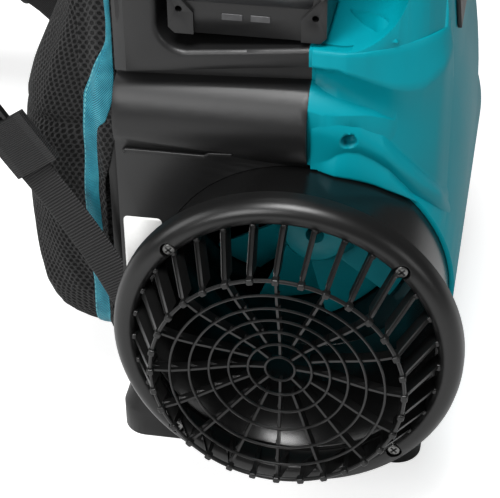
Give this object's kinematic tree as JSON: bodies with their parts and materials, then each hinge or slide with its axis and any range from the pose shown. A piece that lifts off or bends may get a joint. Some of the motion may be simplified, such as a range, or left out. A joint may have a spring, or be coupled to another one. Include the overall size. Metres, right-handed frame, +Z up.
{
  "type": "backpack leaf blower",
  "caption": "Cordless backpack leaf blower: side intake with basket grille, axial fan, two slide-in battery packs, back pad with straps, ribbed hose, pipes and pistol grip.",
  "frame": {"origin": "on the floor under the housing's middle plane, 115 mm behind the base's front edge", "axes": "+X to the wearer's right, +Y forward along the blower pipe, +Z up"},
  "size_m": [0.5485, 1.1246, 0.537],
  "materials": {
    "housing_grey": "fine-textured dark grey plastic",
    "shell_teal": "satin teal plastic",
    "fan_teal": "satin teal plastic",
    "duct_black": "satin black plastic",
    "grille_black": "satin black plastic",
    "trim_black": "matte black plastic",
    "battery_black": "textured dark grey plastic",
    "rubber": "matte rubber",
    "screw_steel": "black zinc",
    "steel": "ground steel",
    "lamination": "stacked steel sheet",
    "contact_metal": "tinned brass",
    "controller_metal": "cast, plain",
    "pad_mesh": "black spacer mesh with a teal binding",
    "binding_teal": "teal twill ribbon",
    "strap_fabric": "black padded fabric",
    "webbing_fabric": "ribbed black webbing",
    "button_teal": "satin teal plastic"
  },
  "bodies": {
    "housing": {"base_plate": "trim_black", "rubber_feet": "rubber", "front_frame": "housing_grey", "rear_shell": "shell_teal", "rear_cover": "trim_black", "intake_duct": "duct_black", "intake_grille": "grille_black", "grille_screws": "screw_steel", "fan_casing": "duct_black", "outlet_reducer": "duct_black", "guide_vanes": "duct_black", "bearings": "steel", "motor_stator": "lamination", "motor_end_cap": "trim_black", "tail_cone": "trim_black", "outlet_elbow": "duct_black", "hose_rear": "rubber", "hose_band": "steel", "battery_carrier": "housing_grey", "terminals": "contact_metal", "controller": "controller_metal", "carry_handle": "housing_grey", "carry_grip": "rubber", "back_plate": "trim_black", "vibration_mounts": "rubber", "mount_bolts": "screw_steel", "back_pad": "pad_mesh", "pad_binding": "binding_teal", "shoulder_strap_left": "strap_fabric", "shoulder_strap_right": "strap_fabric", "webbing_left": "webbing_fabric", "webbing_right": "webbing_fabric", "ladder_lock_left": "trim_black", "ladder_lock_right": "trim_black", "strap_anchors": "trim_black", "housing_screws": "screw_steel"},
    "fan": {"impeller": "fan_teal", "impeller_screw": "screw_steel", "motor_shaft": "steel", "motor_rotor": "lamination"},
    "left_battery": {"battery_left": "battery_black"},
    "right_battery": {"battery_right": "battery_black"},
    "left_latch": {"battery_latch_left": "button_teal"},
    "right_latch": {"battery_latch_right": "button_teal"},
    "hose_middle": {"hose_ring": "trim_black", "hose_front": "rubber"},
    "hose_end": {"hose_cuff": "trim_black"},
    "swivel": {"swivel_pipe": "trim_black"},
    "handle": {"handle_clamp": "trim_black", "grip_shell_left": "shell_teal", "grip_shell_right": "shell_teal", "trigger_pin": "steel", "grip_screws": "screw_steel"},
    "trigger_body": {"trigger": "trim_black"},
    "cruise_body": {"cruise_lever": "trim_black"},
    "boost_body": {"boost_button": "trim_black"},
    "power_body": {"power_button": "button_teal"},
    "ring_body": {"length_lock_ring": "shell_teal"},
    "wand": {"blower_pipe": "trim_black"},
    "mouth": {"nozzle": "trim_black"}
  },
  "joints": [
    {"name": "fan_spin", "type": "hinge", "parent": "housing", "child": "fan", "pos_m": [0, -0.015, 0.142], "axis": [1, 0, 0], "continuous": true},
    {"name": "battery_left_lift", "type": "slide", "parent": "housing", "child": "left_battery", "axis": [0, 0, 1], "range_m": [0, 0.15]},
    {"name": "battery_right_lift", "type": "slide", "parent": "housing", "child": "right_battery", "axis": [0, 0, 1], "range_m": [0, 0.15]},
    {"name": "battery_latch_left_press", "type": "slide", "parent": "left_battery", "child": "left_latch", "axis": [0, 0, -1], "range_m": [0, 0.003], "stiffness_N_per_m": 1500, "springref_m": -0.0015},
    {"name": "battery_latch_right_press", "type": "slide", "parent": "right_battery", "child": "right_latch", "axis": [0, 0, -1], "range_m": [0, 0.003], "stiffness_N_per_m": 1500, "springref_m": -0.0015},
    {"name": "hose_yaw", "type": "hinge", "parent": "housing", "child": "hose_middle", "pos_m": [0.261, 0.131, 0.182], "axis": [0, 0, 1], "range_deg": [-25, 25], "deforming": ["hose_rear"]},
    {"name": "hose_pitch", "type": "hinge", "parent": "hose_middle", "child": "hose_end", "pos_m": [0.261, 0.2233, 0.182], "axis": [1, 0, 0], "range_deg": [-25, 30], "deforming": ["hose_front"]},
    {"name": "pipe_swivel", "type": "hinge", "parent": "hose_end", "child": "swivel", "pos_m": [0.261, 0.28, 0.182], "axis": [0, 1, 0], "range_deg": [-70, 70]},
    {"name": "handle_slide", "type": "slide", "parent": "swivel", "child": "handle", "axis": [0, 1, 0], "range_m": [-0.03, 0.05]},
    {"name": "trigger_pull", "type": "hinge", "parent": "handle", "child": "trigger_body", "pos_m": [0.261, 0.444, 0.3223], "axis": [-1, 0, 0], "range_deg": [0, 16], "stiffness_Nm_per_rad": 0.5, "springref_deg": -14.32},
    {"name": "cruise_turn", "type": "hinge", "parent": "handle", "child": "cruise_body", "pos_m": [0.243, 0.44, 0.3443], "axis": [1, 0, 0], "range_deg": [0, 70]},
    {"name": "boost_press", "type": "slide", "parent": "handle", "child": "boost_body", "axis": [0, 0, -1], "range_m": [0, 0.002], "stiffness_N_per_m": 1200, "springref_m": -0.001},
    {"name": "power_press", "type": "slide", "parent": "handle", "child": "power_body", "axis": [0, 0, -1], "range_m": [0, 0.0015], "stiffness_N_per_m": 1200, "springref_m": -0.001},
    {"name": "lock_ring_twist", "type": "hinge", "parent": "swivel", "child": "ring_body", "pos_m": [0.261, 0.5596, 0.182], "axis": [0, 1, 0], "range_deg": [0, 30]},
    {"name": "pipe_extend", "type": "slide", "parent": "swivel", "child": "wand", "axis": [0, 1, 0], "range_m": [0, 0.08]},
    {"name": "nozzle_twist", "type": "hinge", "parent": "wand", "child": "mouth", "pos_m": [0.261, 0.84, 0.182], "axis": [0, 1, 0], "range_deg": [0, 40]}
  ]
}
